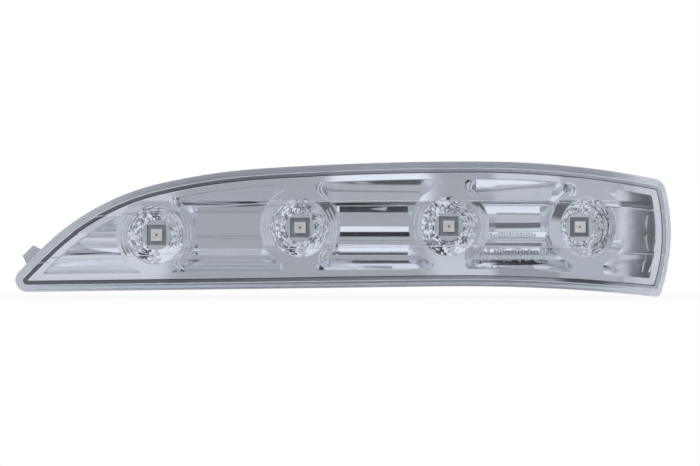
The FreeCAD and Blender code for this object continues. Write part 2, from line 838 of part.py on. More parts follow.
def draw_square(sketch, side):
    half = size(side) / 2
    corners = [Vector(x * half, y * half, 0) for x, y in ((-1, -1), (1, -1), (1, 1), (-1, 1))]
    for number in range(4):
        sketch.addGeometry(Part.LineSegment(corners[number], corners[(number + 1) % 4]))
    for number in range(4):
        sketch.addConstraint(Sketcher.Constraint("Coincident", number, 2, (number + 1) % 4, 1))
    for number in (0, 2):
        sketch.addConstraint(Sketcher.Constraint("Horizontal", number))
        sketch.addConstraint(Sketcher.Constraint("Vertical", number + 1))
    sketch.addConstraint(Sketcher.Constraint("Symmetric", 0, 1, 2, 1, -1, 1))
    for name, line in (("width", 0), ("height", 1)):
        number = sketch.addConstraint(Sketcher.Constraint("Distance", line, 2 * half))
        sketch.renameConstraint(number, name)
        bind(sketch, {f"Constraints.{name}": side})


def draw_circle(sketch, radius):
    sketch.addGeometry(Part.Circle(Vector(), Vector(0, 0, 1), size(radius)))
    sketch.addConstraint(Sketcher.Constraint("Coincident", 0, 3, -1, 1))
    number = sketch.addConstraint(Sketcher.Constraint("Radius", 0, size(radius)))
    sketch.renameConstraint(number, "radius")
    bind(sketch, {"Constraints.radius": radius})


def led_body(name, place):
    body = doc.addObject("PartDesign::Body", name)
    base = sketch_on_front(body, name + "_outline")
    draw_square(base, "led_size")
    block = body.newObject("PartDesign::Pad", name + "_block")
    block.Profile = base
    bind(block, {"Length": "led_height"})
    mouth = sketch_on_front(body, name + "_mouth", "led_height")
    draw_circle(mouth, "led_cup_radius")
    cup = body.newObject("PartDesign::Pocket", name + "_cup")
    cup.Profile = mouth
    bind(cup, {"Length": "led_cup_depth"})
    body.Placement = place
    return body


def led_window(name, place):
    """Clear resin that fills the cup of a light-emitting diode."""
    body = doc.addObject("PartDesign::Body", name)
    mouth = sketch_on_front(body, name + "_mouth", "led_height - led_cup_depth")
    draw_circle(mouth, "led_cup_radius")
    resin = body.newObject("PartDesign::Pad", name + "_resin")
    resin.Profile = mouth
    bind(resin, {"Length": "led_cup_depth"})
    body.Placement = place
    return body


leds = []
for number, (place, depth) in units.items():
    seat = place * FreeCAD.Placement(Vector(0, depth + size("dish_floor"), 0), FreeCAD.Rotation())
    leds.append(led_body(f"led_{number}", seat))
    leds.append(led_window(f"led_{number}_window", seat))


# Flexible link between the two boards
def flex_face():
    """Thin strip in plan: flat on the back of each board, with one bend between them."""
    back_y = size("board_y") + size("board_thick")
    turn = size("side_turn")
    landing = BOARDS["side"].multVec(Vector(0, size("board_thick"), 0))
    corner_x = landing.x - (landing.y - back_y) / math.tan(math.radians(turn))
    radius = size("flex_radius")
    straight = radius * math.tan(math.radians(turn / 2))
    start = Vector(size("board_right_x") - size("flex_overlap"), back_y, 0)
    bend = Vector(corner_x - straight, back_y, 0)
    reach = size("flex_overlap") - size("side_board_left")
    end = BOARDS["side"].multVec(Vector(reach, size("board_thick"), 0))
    faces = []
    for lift in (0, size("flex_thick")):
        first = start + ACROSS * lift
        edges, arc_end, angle = run_of_arcs(bend + ACROSS * lift, 0, [(radius - lift, turn)], ACROSS)
        last = end + heading(turn + 90, ACROSS) * lift
        faces.append((first, [Part.makeLine(first, bend + ACROSS * lift)] + edges
                      + [Part.makeLine(arc_end, last)], last))
    (first, front, last), (first_back, rear, last_back) = faces
    sides = [Part.makeLine(first, first_back), Part.makeLine(last, last_back)]
    face = Part.Face(Part.Wire(Part.__sortEdges__(front + rear + sides)))
    face.translate(Vector(0, 0, size("flex_z") - size("flex_width") / 2))
    return face


flex_link = extrude("flex_link", feature("flex_link_face", flex_face()), Vector(0, 0, 1), "flex_width")

# Parts soldered on the back of the boards
RESISTORS = (
    ("main", "resistor_1_x", "resistor_z"),
    ("main", "resistor_2_x", "resistor_z"),
    ("main", "resistor_3_x", "resistor_z"),
    ("side", "resistor_4_x", "resistor_z"),
)
resistors = [box_on(f"resistor_{number}", frame, "resistor_length", "resistor_height", "resistor_width",
                    x, "board_thick", z)
             for number, (frame, x, z) in enumerate(RESISTORS, 1)]
capacitor = rod_on("capacitor", "main", "cap_radius", "cap_height", "cap_x", "board_thick", "cap_z")
diode = box_on("diode", "main", "diode_length", "diode_height", "diode_width",
               "diode_x", "board_thick", "diode_z")

pins = []
for number, sign in ((1, "-"), (2, "+")):
    pins.append(box(f"terminal_pin_{number}", "pin_width",
                    "pin_reach - boss_height - board_y - board_thick", "pin_thick",
                    f"socket_x {sign} pin_spacing / 2", "board_y + board_thick", "socket_z"))

vent_patch = rod("vent_patch", "vent_seat_radius - tray_clearance", "vent_patch_thick",
                 "vent_x", "vent_height - boss_height - vent_seat_depth", "vent_z")


def board_screws():
    shapes = []
    for name, frame, x, z in SCREWS:
        shank = rod_on(f"{name}_screw_shank", frame, "screw_radius",
                       "screw_depth + board_thick + screw_head_height / 2", x, "-screw_depth", z)
        head = rod_on(f"{name}_screw_head", frame, "screw_head_radius", "screw_head_height",
                      x, "board_thick", z)
        shapes.append(fuse(f"{name}_screw", shank, head))
    group = doc.addObject("Part::Compound", "board_screws")
    group.Links = shapes
    return group


PARTS = {
    "outer_lens": outer_lens,
    "rear_housing": rear_housing,
    "reflector": reflector,
    "main_board": main_board,
    "side_board": side_board,
    "flex_link": flex_link,
    "capacitor": capacitor,
    "diode": diode,
    "vent_patch": vent_patch,
    "board_screws": board_screws(),
}
PARTS.update({f"resistor_{number}": item for number, item in enumerate(resistors, 1)})
PARTS.update({f"terminal_pin_{number}": item for number, item in enumerate(pins, 1)})
PARTS.update({item.Name: item for item in leds})

doc.recompute()
for item in doc.Objects:
    if {"Invalid", "Error"} & set(item.State):
        raise RuntimeError(f"{item.Name} did not build")
for name, item in PARTS.items():
    item.Label = name
    if item.Shape.isNull() or not item.Shape.isValid():
        raise RuntimeError(f"{name} has no sound shape")

os.makedirs("parts", exist_ok=True)
for name, item in PARTS.items():
    item.Shape.exportStep(f"parts/{name}.step")
    print(name, len(item.Shape.Solids), round(item.Shape.Volume, 1))
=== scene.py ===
# %% [markdown]
# # A door mirror's indicator lamp
# This lesson dresses a small vehicle lamp: a clear lens over a metallised reflector with four
# bowls, and behind each bowl a light-emitting diode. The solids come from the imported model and
# stay where they are. Everything here is in metres, so one millimetre is written as `MM`.

import math
from random import Random

import bmesh
import bpy
from mathutils import Matrix, Vector
from mathutils.bvhtree import BVHTree


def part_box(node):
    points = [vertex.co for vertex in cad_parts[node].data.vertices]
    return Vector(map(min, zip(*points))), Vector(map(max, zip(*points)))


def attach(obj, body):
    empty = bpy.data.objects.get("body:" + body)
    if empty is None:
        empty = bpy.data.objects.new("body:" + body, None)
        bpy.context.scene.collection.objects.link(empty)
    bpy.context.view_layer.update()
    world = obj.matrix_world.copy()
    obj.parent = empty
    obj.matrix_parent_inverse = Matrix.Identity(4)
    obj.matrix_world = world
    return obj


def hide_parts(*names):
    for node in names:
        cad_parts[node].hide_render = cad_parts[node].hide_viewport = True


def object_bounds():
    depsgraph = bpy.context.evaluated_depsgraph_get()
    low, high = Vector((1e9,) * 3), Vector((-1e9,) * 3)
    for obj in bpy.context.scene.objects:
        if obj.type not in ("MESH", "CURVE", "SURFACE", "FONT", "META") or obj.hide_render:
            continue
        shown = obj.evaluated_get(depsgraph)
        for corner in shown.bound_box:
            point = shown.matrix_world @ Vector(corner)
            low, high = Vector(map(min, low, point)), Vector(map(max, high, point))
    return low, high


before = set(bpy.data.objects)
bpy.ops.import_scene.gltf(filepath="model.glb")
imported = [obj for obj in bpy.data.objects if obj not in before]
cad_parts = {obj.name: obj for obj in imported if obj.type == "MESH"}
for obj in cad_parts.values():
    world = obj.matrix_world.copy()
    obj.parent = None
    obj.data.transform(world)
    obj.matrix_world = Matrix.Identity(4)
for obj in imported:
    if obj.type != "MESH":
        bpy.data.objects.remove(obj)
CAD_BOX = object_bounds()
MM = 0.001
print(len(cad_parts), "nodes in", [round(side / MM, 1) for side in CAD_BOX[1] - CAD_BOX[0]], "mm")

# %% [markdown]
# ## Where the light units sit
# Later cells need the middle of each diode and how far its bowl is turned. A diode's clear
# resin is a short cylinder, so the middle of its box is a point on the axis of its bowl. Only
# the fourth bowl is turned, by 17 degrees, to follow the wrapped end.

# %% Find the axis of each light unit
UNITS = (1, 2, 3, 4)
SIDE_TURN = math.radians(17)


def middle_of(node):
    low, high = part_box(node)
    return (low + high) / 2


unit_middles = {number: middle_of(f"led_{number}_window") for number in UNITS}
unit_turns = {number: SIDE_TURN if number == 4 else 0.0 for number in UNITS}
print("diodes at x:", [round(point.x / MM, 1) for point in unit_middles.values()])

# %% [markdown]
# ## Colours and node trees
# Every finish is a node tree. Colours are written as a screen shows them, from 0 to 255, and
# turned into the linear values of the shader. A small class adds a node, fills its sockets and
# joins it in one line, so that a tree reads from top to bottom.


# %% Helpers for colours and node trees
def linear(red, green, blue):
    def channel(value):
        value /= 255
        return value / 12.92 if value <= 0.04045 else ((value + 0.055) / 1.055) ** 2.4
    return (channel(red), channel(green), channel(blue), 1.0)


def grey(value):
    return (value, value, value, 1.0)


class Wiring:
    """A node tree with a short way to add nodes and join them."""

    def __init__(self, tree):
        self.tree = tree

    def add(self, kind, inputs=(), **settings):
        node = self.tree.nodes.new(kind)
        for name, value in settings.items():
            setattr(node, name, value)
        for socket, value in dict(inputs).items():
            if isinstance(value, bpy.types.NodeSocket):
                self.join(value, node.inputs[socket])
            else:
                node.inputs[socket].default_value = value
        return node

    def join(self, start, end):
        self.tree.links.new(start, end)

    def math(self, operation, *values):
        return self.add("ShaderNodeMath", dict(enumerate(values)), operation=operation).outputs["Value"]

    def times(self, first, second):
        return self.math("MULTIPLY", first, second)

    def span(self, value, start, end, low=0.0, high=1.0):
        """Goes from low to high while the value goes from start to end, and stays there."""
        return self.add("ShaderNodeMapRange", {
            "Value": value, "From Min": start, "From Max": end, "To Min": low, "To Max": high,
        }).outputs["Result"]

    def parts(self, vector):
        return self.add("ShaderNodeSeparateXYZ", {"Vector": vector}).outputs

    def vector(self, **parts):
        return self.add("ShaderNodeCombineXYZ", parts).outputs["Vector"]


print("a mid grey of 128 is", round(linear(128, 128, 128)[0], 3), "in linear light")

# %% [markdown]
# ## A class for finishes
# A finish is a material with the Principled shader. Its patterns read Object coordinates, which
# are places on the piece in metres, so that a blotch or a grain has a real size. Blotches let a
# colour wander between two values, because moulded plastic never has quite one. Grain is fine
# relief, and a Bevel node under it makes sharp edges look rounded.

# %% A material whose noise has a real size
NOISE_LOW, NOISE_HIGH = 0.3, 0.7
BEVEL_SAMPLES = 6
MIX_FIRST, MIX_SECOND, MIX_RESULT = 6, 7, 2


class Finish(Wiring):
    """A material, with its Principled shader and Object coordinates at hand."""

    def __init__(self, name, **sockets):
        self.material = bpy.data.materials.new(name)
        self.material.use_nodes = True
        super().__init__(self.material.node_tree)
        self.shader = self.tree.nodes["Principled BSDF"]
        self.output = self.tree.nodes["Material Output"].inputs["Surface"]
        for socket, value in sockets.items():
            self.shader.inputs[socket.replace("_", " ")].default_value = value
        self.place = self.add("ShaderNodeTexCoord").outputs["Object"]

    def feed(self, value, socket="Base Color"):
        """Joins a pattern to a socket of the shader."""
        self.join(value, self.shader.inputs[socket])

    def noise(self, size, detail=3.0, stretch=(1, 1, 1)):
        """Noise whose blotches are about this size, in metres."""
        mapping = self.add("ShaderNodeMapping", {"Vector": self.place, "Scale": stretch})
        sizes = {"Vector": mapping.outputs["Vector"], "Scale": 1 / size, "Detail": detail}
        return self.add("ShaderNodeTexNoise", sizes).outputs["Fac"]

    def ramp(self, factor, *stops):
        node = self.add("ShaderNodeValToRGB", {"Fac": factor})
        elements = node.color_ramp.elements
        while len(elements) < len(stops):
            elements.new(0.5)
        for element, (position, colour) in zip(elements, stops):
            element.position = position
            element.color = colour
        return node.outputs["Color"]

    def mix(self, share, first, second):
        """Goes from the first colour to the second while the share goes from 0 to 1."""
        sockets = {"Factor": share, MIX_FIRST: first, MIX_SECOND: second}
        return self.add("ShaderNodeMix", sockets, data_type="RGBA").outputs[MIX_RESULT]

    def wandering(self, size, low, high, stretch=(1, 1, 1)):
        """A colour that wanders between two others, in blotches of this size."""
        return self.ramp(self.noise(size, stretch=stretch), (NOISE_LOW, low), (NOISE_HIGH, high))

    def grain(self, size, depth, strength=0.3, stretch=(1, 1, 1), rounding=0.0):
        """Fine relief of this size and depth, over edges that look this much rounded, in metres."""
        height = self.noise(size, detail=2.0, stretch=stretch)
        bump = self.add("ShaderNodeBump", {"Height": height, "Distance": depth, "Strength": strength})
        if rounding:
            bevel = self.add("ShaderNodeBevel", {"Radius": rounding}, samples=BEVEL_SAMPLES)
            self.join(bevel.outputs["Normal"], bump.inputs["Normal"])
        self.feed(bump.outputs["Normal"], "Normal")


print("blotches fill the noise from", NOISE_LOW, "to", NOISE_HIGH)

# %% [markdown]
# ## Metallised plastic
# The reflector is moulded plastic with a thin coat of aluminium, so it is a mirror with a faint
# orange-peel ripple from the mould. A mirror has no look of its own: it shows the studio.
# The ripple is long and shallow, because a short one would read as brushed metal. Towards the
# wrapped end the coat turns satin, which keeps the side of the lamp calm.

# %% Finish of the reflector
GLOSSIEST, DULLEST = 0.03, 0.08
SATIN_FROM, SATIN_TO = 74 * MM, 79 * MM
SATIN_ROUGHNESS = 0.4


def mirror_coat(name, rounding):
    coat = Finish(name, Base_Color=linear(240, 242, 245), Metallic=1.0)
    gloss = coat.wandering(6 * MM, grey(GLOSSIEST), grey(DULLEST))
    satin = coat.span(coat.parts(coat.place)["X"], SATIN_FROM, SATIN_TO, high=SATIN_ROUGHNESS)
    coat.feed(coat.math("ADD", gloss, satin), "Roughness")
    coat.grain(size=3.5 * MM, depth=0.02 * MM, strength=0.25, rounding=rounding)
    return coat


chrome = mirror_coat("metallised_plastic", rounding=0.3 * MM)
sharp_chrome = mirror_coat("metallised_pillows", rounding=0.0)
print("made", chrome.material.name, "and", sharp_chrome.material.name)

# %% [markdown]
# ## Clear lens
# The lens is clear polycarbonate. Glass in a path tracer blocks lamps, which would leave the
# reflector dark, so its shadow rays pass straight through: a Light Path node swaps the glass for
# a Transparent shader there.

# %% Finish of the lens
glass = Finish("clear_polycarbonate", Base_Color=linear(250, 252, 254), IOR=1.5, Transmission_Weight=1.0)
glass.feed(glass.wandering(9 * MM, grey(0.0), grey(0.03)), "Roughness")
glass.grain(size=12 * MM, depth=0.01 * MM, strength=0.2, rounding=0.5 * MM)
light_path = glass.add("ShaderNodeLightPath")
clear = glass.add("ShaderNodeBsdfTransparent", {"Color": linear(245, 247, 250)})
either = glass.add("ShaderNodeMixShader", {
    0: light_path.outputs["Is Shadow Ray"],
    1: glass.shader.outputs["BSDF"],
    2: clear.outputs["BSDF"],
})
glass.join(either.outputs["Shader"], glass.output)
print("made", glass.material.name)

# %% [markdown]
# ## Moulded housing
# The housing is plain grey plastic with the fine spark-eroded grain that moulds leave. A narrow
# channel of it shows between the reflector and the rim of the lens. Little light falls into it,
# and that shade is painted into the colour: painted shade that is dark at the pointed end and
# fades towards the blunt end, with one more painted dark stroke at the lower right. The channel
# is found with the attribute `covered`, which a later cell writes on the faces under the lens.
# The locating tab keeps its grey, because it lies outside a slanted line along the edge of the
# lamp.

# %% Finish of the housing
# Painted shade in the channel: its dark colour, how strong it is, its fade along the lamp and the stroke at
# the lower right.
CHANNEL_PAINTED_SHADE = linear(38, 41, 50)
CHANNEL_SHADE_STRENGTH = 0.88
CHANNEL_SHADE_FADE = (-60 * MM, 75 * MM)
SHADE_STROKE_RISE, SHADE_STROKE_FALL = (54 * MM, 60 * MM), (77 * MM, 70 * MM)
SLANT_NORMAL = (0.665, 0, -0.746)
SLANT_LINE = -60.8 * MM


def painted_channel_shade(finish):
    """How much painted shade darkens the housing at each place, from 0 to 1."""
    place = finish.parts(finish.place)
    fade = finish.span(place["X"], *CHANNEL_SHADE_FADE, low=CHANNEL_SHADE_STRENGTH, high=0.0)
    stroke = finish.times(finish.span(place["X"], *SHADE_STROKE_RISE), finish.span(place["X"], *SHADE_STROKE_FALL))
    low_stroke = finish.times(stroke, finish.math("LESS_THAN", place["Z"], 0.0))
    slant = finish.add("ShaderNodeVectorMath", {0: finish.place, 1: SLANT_NORMAL}, operation="DOT_PRODUCT")
    inside = finish.math("GREATER_THAN", slant.outputs["Value"], SLANT_LINE)
    covered = finish.add("ShaderNodeAttribute", attribute_name="covered").outputs["Fac"]
    return finish.times(finish.times(covered, inside), finish.math("MAXIMUM", low_stroke, fade))


housing_grey = Finish("housing_plastic", Roughness=0.45)
plastic = housing_grey.wandering(14 * MM, linear(139, 143, 150), linear(150, 154, 161))
# The plastic's colour is darkened by the painted shade of the channel.
housing_grey.feed(housing_grey.mix(painted_channel_shade(housing_grey), plastic, CHANNEL_PAINTED_SHADE))
housing_grey.grain(size=0.5 * MM, depth=0.03 * MM)
print("made", housing_grey.material.name, "with", len(housing_grey.tree.nodes), "nodes")

# %% [markdown]
# ## The small parts
# Apart from the diodes, the rest is hidden behind the reflector, but each part still gets the
# finish of what it is: solder mask, film, the diodes' pale case, tinned brass, zinc-plated
# steel, a membrane, an aluminium can and black epoxy.


# %% Finishes of the small parts
def mottled(name, size, low, high, stretch=(1, 1, 1), **sockets):
    """A finish whose colour wanders between two others, each given from 0 to 255."""
    finish = Finish(name, **sockets)
    finish.feed(finish.wandering(size, linear(*low), linear(*high), stretch))
    return finish


solder_mask = mottled("circuit_board", 5 * MM, (118, 121, 126), (136, 139, 144), (0.2, 1, 3), Roughness=0.4)
solder_mask.grain(size=1.2 * MM, depth=0.04 * MM, stretch=(0.15, 1, 3))
film = mottled("flex_film", 2 * MM, (168, 104, 42), (186, 124, 56), (0.1, 1, 4), Roughness=0.3)
led_white = mottled("led_case", 1.5 * MM, (196, 196, 188), (210, 210, 202), Roughness=0.42)
tinned = mottled("terminal_brass", 1.2 * MM, (196, 176, 128), (214, 196, 150), (1, 0.1, 1),
                 Metallic=1.0, Roughness=0.3)
zinc = mottled("screw_steel", 0.8 * MM, (176, 180, 188), (206, 208, 212), Metallic=1.0, Roughness=0.35)
membrane = mottled("vent_film", 0.4 * MM, (214, 214, 210), (232, 232, 228), Roughness=0.8)
membrane.grain(size=0.25 * MM, depth=0.03 * MM, strength=0.5)
can = mottled("capacitor_can", 0.7 * MM, (186, 188, 192), (206, 208, 210), (1, 0.2, 1),
              Metallic=1.0, Roughness=0.32)
epoxy = mottled("component_case", 0.6 * MM, (30, 31, 33), (44, 45, 48), Roughness=0.5)
epoxy.grain(size=0.2 * MM, depth=0.02 * MM)
print("made", len(bpy.data.materials), "materials so far")

# %% [markdown]
# ## The resin over each diode
# Each diode is a cream block with a round cup of clear resin, and a tiny dark chip shows in the
# middle of it. The chip is a dark spot that fades out with the distance from the cup's axis,
# taken from the Object coordinates with a Mapping node that puts the cup in the middle.

# %% Finish of the resin
CHIP_RADIUS = 0.35 * MM
FADE_RADIUS = 3 * CHIP_RADIUS
CHIP_END, CREAM_START = 0.25, 0.42


def resin_finish(number):
    finish = Finish(f"led_resin_{number}", Roughness=0.15, Coat_Weight=0.6)
    shift = -unit_middles[number] * Vector((1, 0, 1))
    mapping = finish.add("ShaderNodeMapping", {
        "Vector": finish.place, "Location": shift, "Scale": (1, 0, 1)})
    away = finish.add("ShaderNodeVectorMath", {0: mapping.outputs["Vector"]}, operation="LENGTH")
    share = finish.math("DIVIDE", away.outputs["Value"], FADE_RADIUS)
    cream, chip = linear(206, 205, 190), linear(92, 90, 84)
    finish.feed(finish.ramp(share, (CHIP_END, chip), (CREAM_START, cream)))
    return finish.material


resins = {number: resin_finish(number) for number in UNITS}
print("made", len(resins), "resin finishes")

# %% [markdown]
# ## Giving the carried solids their finishes
# A solid whose shape is right stays as it is, and only its material slots are filled.

# %% Fill the material slots of the carried solids
CARRIED = {
    "main_board": solder_mask, "side_board": solder_mask, "flex_link": film,
    "capacitor": can, "diode": epoxy, "vent_patch": membrane, "board_screws": zinc,
    "terminal_pin_1": tinned, "terminal_pin_2": tinned,
    **{f"resistor_{number}": epoxy for number in UNITS},
    **{f"led_{number}": led_white for number in UNITS},
}


def dress(node, material):
    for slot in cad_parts[node].material_slots:
        slot.material = material


for node, finish in CARRIED.items():
    dress(node, finish.material)
for number, material in resins.items():
    dress(f"led_{number}_window", material)
print("dressed", len(CARRIED) + len(resins), "solids")

# %% [markdown]
# ## Smooth copies of the three big mouldings
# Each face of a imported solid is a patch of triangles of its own, so a mirror or a lens would show
# every seam. A copy of each big moulding has its doubled points merged and is shaded smooth. A
# plain angle limit can't tell a shallow crease from a coarse curve, so each corner first notes the
# smooth normal of its own patch, and an edge is kept sharp where two patches disagree.

# %% Smooth copies that stand for the solids
MERGE_GAP = 0.001 * MM
CREASE = math.radians(9)


def new_object(name, data):
    """A new object at the origin of the scene."""
    made = bpy.data.objects.new(name, data)
    bpy.context.scene.collection.objects.link(made)
    return made


def new_mesh(name, points, edges=(), faces=()):
    made = bpy.data.meshes.new(name)
    made.from_pydata(points, edges, faces)
    return made


def patches_agree(edge, own):
    """Whether the patches on both sides of an edge have about the same normals along it."""
    first, second = ({corner.vert: corner[own] for corner in face.loops} for face in edge.link_faces)
    return all(first[point].angle(second[point], 0) < CREASE for point in edge.verts)


def smooth_copy(node, name, material):
    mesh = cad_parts[node].data.copy()
    mesh.name = name
    mesh.attributes.remove(mesh.attributes["custom_normal"])
    work = bmesh.new()
    work.from_mesh(mesh)
    own = work.loops.layers.float_vector.new("own_normal")
    for face in work.faces:
        face.smooth = True
        for corner in face.loops:
            corner[own] = corner.vert.normal
    bmesh.ops.remove_doubles(work, verts=work.verts, dist=MERGE_GAP)
    for edge in work.edges:
        edge.smooth = len(edge.link_faces) == 2 and patches_agree(edge, own)
    work.loops.layers.float_vector.remove(own)
    work.to_mesh(mesh)
    work.free()
    mesh.materials.clear()
    mesh.materials.append(material)
    return new_object(name, mesh)


lens = smooth_copy("outer_lens", "lens_shell", glass.material)
housing = smooth_copy("rear_housing", "housing_shell", housing_grey.material)
reflector = smooth_copy("reflector", "reflector_shell", chrome.material)
for piece, node, slot in (
        (lens, "outer_lens", "clear_lens"),
        (housing, "rear_housing", "housing_plastic"),
        (reflector, "reflector", "metallised_plastic")):
    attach(piece, "root")
    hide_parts(node)
    print(piece.name, len(piece.data.polygons), "triangles")

# %% [markdown]
# ## Which faces of the housing lie under the lens
# The painted shade in the finish of the housing asks each face whether it lies under the lens. A
# ray from the middle of the face along its normal gives the answer, and a tree of the lens's
# triangles finds the hit quickly. Only faces that look to the front count.

# %% Mark the faces of the housing under the lens
TOUCH_GAP = 0.05 * MM
FRONT_FACING = -0.3


def surface_tree(piece):
    return BVHTree.FromPolygons([point.co for point in piece.data.vertices],
                                [face.vertices for face in piece.data.polygons])


def mark_covered(piece, cover, name):
    """Marks the faces of a piece that look at another piece, and says how many they are."""
    tree = surface_tree(cover)
    marks = piece.data.attributes.new(name, "FLOAT", "FACE")
    for face in piece.data.polygons:
        hit = tree.ray_cast(face.center + face.normal * TOUCH_GAP, face.normal)[0]
        marks.data[face.index].value = float(hit is not None and face.normal.y <= FRONT_FACING)
    return int(sum(mark.value for mark in marks.data))


print("faces of the housing under the lens:", mark_covered(housing, lens, "covered"))

# %% [markdown]
# ## The weld seam
# The lens is welded to the housing all round. The molten plastic of the seam scatters light, and
# because the lens's wall works as a light guide, this pale seam is what the eye sees deep in the
# rim of the lens. The seam is made from the back faces of the lens that touch the housing. Over
# the seam's pale colour lies painted shade: it turns grey towards the upper edge, and stays pale
# at the lower edge and all the way round the blunt end.

# %% Pale faces where the lens touches the housing
BACK_FACING = 0.3
SEAM_TURN = (70 * MM, 92 * MM)
SEAM_LIFT = -0.5
SEAM_WANDER = 0.3


def seam_with_painted_shade():
    finish = Finish("weld_seam", Roughness=0.6)
    place = finish.parts(finish.place)
    # Painted shade: the colour turns grey with height, and less so towards the blunt end.
    height = finish.span(place["Z"], CAD_BOX[0].z, CAD_BOX[1].z)
    base = finish.math("ADD", height, finish.span(place["X"], *SEAM_TURN, high=SEAM_LIFT))
    patches = finish.math("MULTIPLY_ADD", finish.noise(6 * MM, stretch=(0.4, 1, 1)), SEAM_WANDER, base)
    finish.feed(finish.ramp(patches, (0.3, linear(188, 192, 198)), (0.7, linear(186, 190, 197)),
                            (1.0, linear(140, 144, 151))))
    return finish.material


def touching_faces(piece, other, name, material):
    """A thin sheet made of the back faces of one piece that lie on another, a hair in front of them."""
    tree = surface_tree(other)
    points, faces = [], []
    for face in piece.data.polygons:
        if face.normal.y > BACK_FACING and tree.find_nearest(face.center)[3] < TOUCH_GAP:
            faces.append(tuple(range(len(points), len(points) + len(face.vertices))))
            points += [piece.data.vertices[corner].co - Vector((0, TOUCH_GAP, 0))
                       for corner in face.vertices]
    mesh = new_mesh(name, points, faces=faces)
    mesh.flip_normals()
    mesh.materials.append(material)
    return new_object(name, mesh)


seam = touching_faces(lens, housing, "weld_seam", seam_with_painted_shade())
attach(seam, "root")
print(seam.name, len(seam.data.polygons), "triangles")

# %% [markdown]
# ## Recipes made of nodes
# A Geometry Nodes tree is a recipe: it takes a bare mesh and some named sizes, and gives back a
# finished piece. To make a piece, the class below hangs the tree on a helper object, fills in
# the sizes by the identifiers of their sockets, and keeps the result as a plain mesh.


# %% A small class for recipes made of nodes
class Recipe(Wiring):
    """A Geometry Nodes tree with named inputs."""

    def __init__(self, name):
        super().__init__(bpy.data.node_groups.new(name, "GeometryNodeTree"))
        for way in ("INPUT", "OUTPUT"):
            self.tree.interface.new_socket("Geometry", in_out=way, socket_type="NodeSocketGeometry")
        self.start = self.add("NodeGroupInput")
        self.end = self.add("NodeGroupOutput")
        self.names = {}

    def size(self, name, kind="Float"):
        socket = self.tree.interface.new_socket(name, in_out="INPUT", socket_type=f"NodeSocket{kind}")
        self.names[name] = socket.identifier
        return self.start.outputs[name]

    def position(self):
        return self.add("GeometryNodeInputPosition").outputs["Position"]

    def attribute(self, name, kind="FLOAT"):
        return self.add("GeometryNodeInputNamedAttribute", {"Name": name},
                        data_type=kind).outputs["Attribute"]

    def store(self, geometry, name, value, kind="FLOAT"):
        return self.add("GeometryNodeStoreNamedAttribute", {
            "Geometry": geometry, "Name": name, "Value": value}, data_type=kind).outputs["Geometry"]

    def finish(self, geometry, material):
        """Ends the tree: real faces, smooth shading and the piece's finish."""
        real = self.add("GeometryNodeRealizeInstances", {"Geometry": geometry})
        smooth = self.add("GeometryNodeSetShadeSmooth", {"Geometry": real.outputs["Geometry"]})
        coat = self.add("GeometryNodeSetMaterial", {
            "Geometry": smooth.outputs["Geometry"], "Material": material})
        self.join(coat.outputs["Geometry"], self.end.inputs["Geometry"])

    def make(self, name, mesh, **sizes):
        """A plain mesh piece, made by running the recipe on a mesh."""
        holder = new_object(name + "_recipe", mesh)
        modifier = holder.modifiers.new("recipe", "NODES")
        modifier.node_group = self.tree
        for size, value in sizes.items():
            modifier[self.names[size.replace("_", " ")]] = value
        graph = bpy.context.evaluated_depsgraph_get()
        made = bpy.data.meshes.new_from_object(holder.evaluated_get(graph), depsgraph=graph)
        made.name = name
        bpy.data.objects.remove(holder)
        return new_object(name, made)


print("each recipe ends with real faces, smooth shading and a finish")

# %% [markdown]
# ## Pillow facets of the bowls
# Each bowl is covered with small pillows in rings, which scatter the diode's light. They repeat,
# so a Geometry Nodes tree makes them: one seed point for each ring is copied round the bowl's
# axis, and a domed tile is set on every copy, turned to face the axis and tilted a little at
# random, because only uneven mirrors sparkle. Above and below the two creases of the lens the
# tiles are nearly flat and even.

# %% The steps of the recipe for pillow facets
TILE_POINTS = 7


def copies_round_axis(recipe, copies, step):
    """The seed points copied round the axis, each with the way that it faces."""
    rings = recipe.add("GeometryNodeDuplicateElements",
                       {"Geometry": recipe.start.outputs["Geometry"], "Amount": copies}, domain="POINT")
    order = recipe.math("ADD", rings.outputs["Duplicate Index"], recipe.attribute("half_step"))
    angle = recipe.times(order, step)

    def turned(vector):
        return recipe.add("ShaderNodeVectorRotate", {"Vector": vector, "Angle": angle},
                          rotation_type="Y_AXIS").outputs["Vector"]

    spots = recipe.add("GeometryNodeSetPosition",
                       {"Geometry": rings.outputs["Geometry"], "Position": turned(recipe.position())})
    facing = turned(recipe.attribute("facing", "FLOAT_VECTOR"))
    return recipe.store(spots.outputs["Geometry"], "facing", facing, "FLOAT_VECTOR")


def with_swell(recipe, points, lowest, highest, calm):
    """The points, with how much each tile swells, which is less beyond the two heights."""
    height = recipe.parts(recipe.position())["Z"]
    outside = recipe.math("MAXIMUM", recipe.math("LESS_THAN", height, lowest),
                          recipe.math("GREATER_THAN", height, highest))
    swell = recipe.math("SUBTRACT", 1.0, recipe.times(outside, calm))
    return recipe.store(points, "swell", swell)


def domed_tile(recipe, dome):
    """A square tile of unit size that rises in the middle and not at its edges."""
    grid = recipe.add("GeometryNodeMeshGrid", {
        "Size X": 1.0, "Size Y": 1.0, "Vertices X": TILE_POINTS, "Vertices Y": TILE_POINTS})
    spot = recipe.parts(recipe.position())
    squares = [recipe.math("POWER", spot[axis], 2.0) for axis in ("X", "Y")]
    fall = [recipe.math("SUBTRACT", 1.0, recipe.times(square, 4.0)) for square in squares]
    lift = recipe.vector(Z=recipe.times(recipe.times(*fall), dome))
    return recipe.add("GeometryNodeSetPosition", {
        "Geometry": grid.outputs["Mesh"], "Offset": lift}).outputs["Geometry"]


